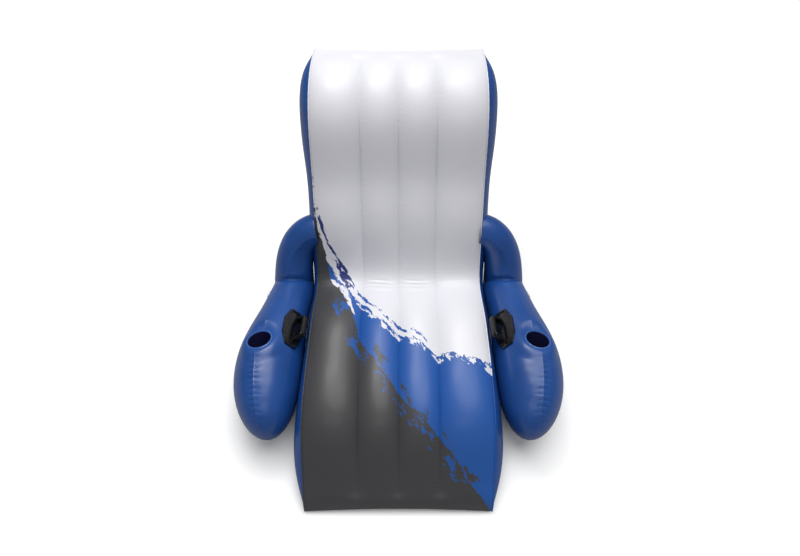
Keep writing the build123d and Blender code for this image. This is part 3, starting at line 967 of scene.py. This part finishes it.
# %% Arm skins
front_rows = np.arange(FRONT_SLICES)
riser_rows = np.arange(FRONT_SLICES - 1, len(line))
ARM_SHEETS = [
    ("arm_inner", RIDGE, RIDGE + math.pi, front_rows),
    ("arm_outer", RIDGE - math.pi, RIDGE, front_rows),
    ("arm_riser_inner", RIDGE, RIDGE + math.pi, riser_rows),
    ("arm_riser_outer", RIDGE - math.pi, RIDGE, riser_rows),
]
for label, start, end, rows in ARM_SHEETS:
    shape, across, along = tube_places(start, end, rows)
    middle = shape[len(rows) // 2, TUBE_COLUMNS // 2] - tube_centres[rows[len(rows) // 2]]
    for side, sign in SIDES.items():
        flip = np.array([sign, 1, 1])
        skin = grid_sheet(f"{side}_{label}_skin", shape * flip, across, along)
        face_outwards(skin, middle * flip)
        if rows is front_rows:
            open_round(skin, cup_middle * flip, cup_axis * flip, (CUP_R + RIM_R) / 2)
        if label == "arm_outer":
            open_round(skin, arm_valve[0] * flip, arm_valve[1] * flip, VALVE_HOLE)
        give_thickness(skin, VINYL)
        belongs(skin, blue_vinyl, "blue_vinyl", f"{side}_{label}_panel")

# %% [markdown]
# ## Finishes of the pieces that stay as the frame made them
# Cups, handles, valves and webs already have their real shape, so they only get
# their finish.

# %% Finish the frame's own pieces
def finish_for(name):
    if "web" in name:
        return web_vinyl
    if "cup_well" in name:
        return navy_vinyl
    # The rim's lighter blue is partly a painted highlight.
    if "cup_rim" in name:
        return rim_vinyl
    if "handle" in name:
        return black_vinyl
    return milky_vinyl


def softened_copy(name, radius):
    """A copy of a moulded piece with its hard edges rounded a little."""
    nothing_selected()
    source = nodes[name]
    copy = source.copy()
    copy.data = source.data.copy()
    bpy.context.collection.objects.link(copy)
    copy.parent = None
    copy.matrix_world.identity()
    copy.name = copy.data.name = f"{name}_moulded"
    bpy.context.view_layer.objects.active = copy
    copy.select_set(True)
    bpy.ops.object.mode_set(mode="EDIT")
    bpy.ops.mesh.select_all(action="SELECT")
    bpy.ops.mesh.remove_doubles(threshold=1e-5)
    bpy.ops.mesh.dissolve_limited(angle_limit=math.radians(1.0))
    bpy.ops.object.mode_set(mode="OBJECT")
    bevel = copy.modifiers.new("moulded_edge", "BEVEL")
    bevel.width = radius
    bevel.segments = 3
    bevel.limit_method = "ANGLE"
    bevel.angle_limit = math.radians(28)
    bevel.harden_normals = True
    bpy.ops.object.modifier_apply(modifier=bevel.name)
    bpy.ops.object.shade_smooth_by_angle(angle=math.radians(40))
    return copy


for side in SIDES:
    for part in ("handle_base", "handle_grip"):
        moulded = softened_copy(f"{side}_{part}", 0.0016)
        belongs(moulded, black_vinyl, "black_handle_vinyl", f"{side}_{part}")

for name, node in nodes.items():
    if not node.hide_render:
        node.data.materials.clear()
        node.data.materials.append(finish_for(name))
        nothing_selected()
        bpy.context.view_layer.objects.active = node
        node.select_set(True)
        bpy.ops.object.shade_smooth_by_angle(angle=math.radians(35))

# %% [markdown]
# ## Studio
# The float lies on a bright, seamless floor under broad soft lights, with the
# camera above the foot end looking down the middle.

# %% Floor, lights and camera
scene = bpy.context.scene
nothing_selected()
bpy.ops.mesh.primitive_grid_add(x_subdivisions=8, y_subdivisions=8, size=30, location=(0, 0, CAD_BOX[0][2] - 0.001))
floor = bpy.context.object
floor.name = "studio_floor"
floor_white = bpy.data.materials.new("floor_white")
floor_white.use_nodes = True
floor_shader = floor_white.node_tree.nodes["Principled BSDF"]
# The floor is white to the eye, but gives back less light, as if it lay further away.
make = Nodes(floor_white.node_tree)
seen = make.add("ShaderNodeLightPath").outputs["Is Camera Ray"]
make.join(make.mix(seen, (0.34, 0.34, 0.35, 1), (0.93, 0.93, 0.93, 1)), floor_shader.inputs["Base Color"])
floor_shader.inputs["Roughness"].default_value = 0.9
floor_shader.inputs["Specular IOR Level"].default_value = 0.1
floor.data.materials.append(floor_white)

world = bpy.data.worlds.new("studio_white")
world.use_nodes = True
sky = world.node_tree.nodes["Background"]
sky.inputs["Color"].default_value = (1, 1, 1, 1)
# Glossy rays see a dim room, so that reflections come from the soft lights alone.
make = Nodes(world.node_tree)
rays = make.add("ShaderNodeLightPath")
unseen = make.between(rays.outputs["Is Glossy Ray"], 0, 1, 0.42, 0.10)
make.join(make.number("MAXIMUM", unseen, rays.outputs["Is Camera Ray"]), sky.inputs["Strength"])
scene.world = world


def soft_light(name, place, aim, size, power):
    bpy.ops.object.light_add(type="AREA", location=place)
    light = bpy.context.object
    light.name = name
    light.data.shape = "RECTANGLE"
    light.data.size, light.data.size_y = size
    light.data.energy = power
    light.rotation_euler = (Vector(aim) - Vector(place)).to_track_quat("-Z", "Y").to_euler()
    return light


soft_light("key", (-0.5, 1.3, 3.2), (0, 0.1, 0.4), (1.8, 0.9), 34)
soft_light("front_strip", (0.0, -2.6, 3.4), (0, 0, 0.3), (2.6, 0.6), 10)
bpy.ops.object.light_add(type="SUN", location=(0, -1, 4))
daylight = bpy.context.object
daylight.name = "broad_top_light"
daylight.data.energy = 2.05
daylight.data.angle = math.radians(55)
daylight.rotation_euler = (math.radians(-14), math.radians(8), 0)

CAMERA_TILT = math.radians(56)
CAMERA_FROM_HEAD = 2.2303  # how far in front of the head end the camera stands
CAMERA_SPOT = (0.006, CAD_BOX[1][1] - CAMERA_FROM_HEAD, 2.465)
bpy.ops.object.camera_add(location=CAMERA_SPOT, rotation=(math.pi / 2 - CAMERA_TILT, 0, 0))
camera = bpy.context.object
camera.data.lens = 27.4
camera.data.sensor_width = 36
scene.camera = camera
scene.view_settings.view_transform = "Standard"
print("camera at", CAMERA_SPOT, "lens", camera.data.lens)
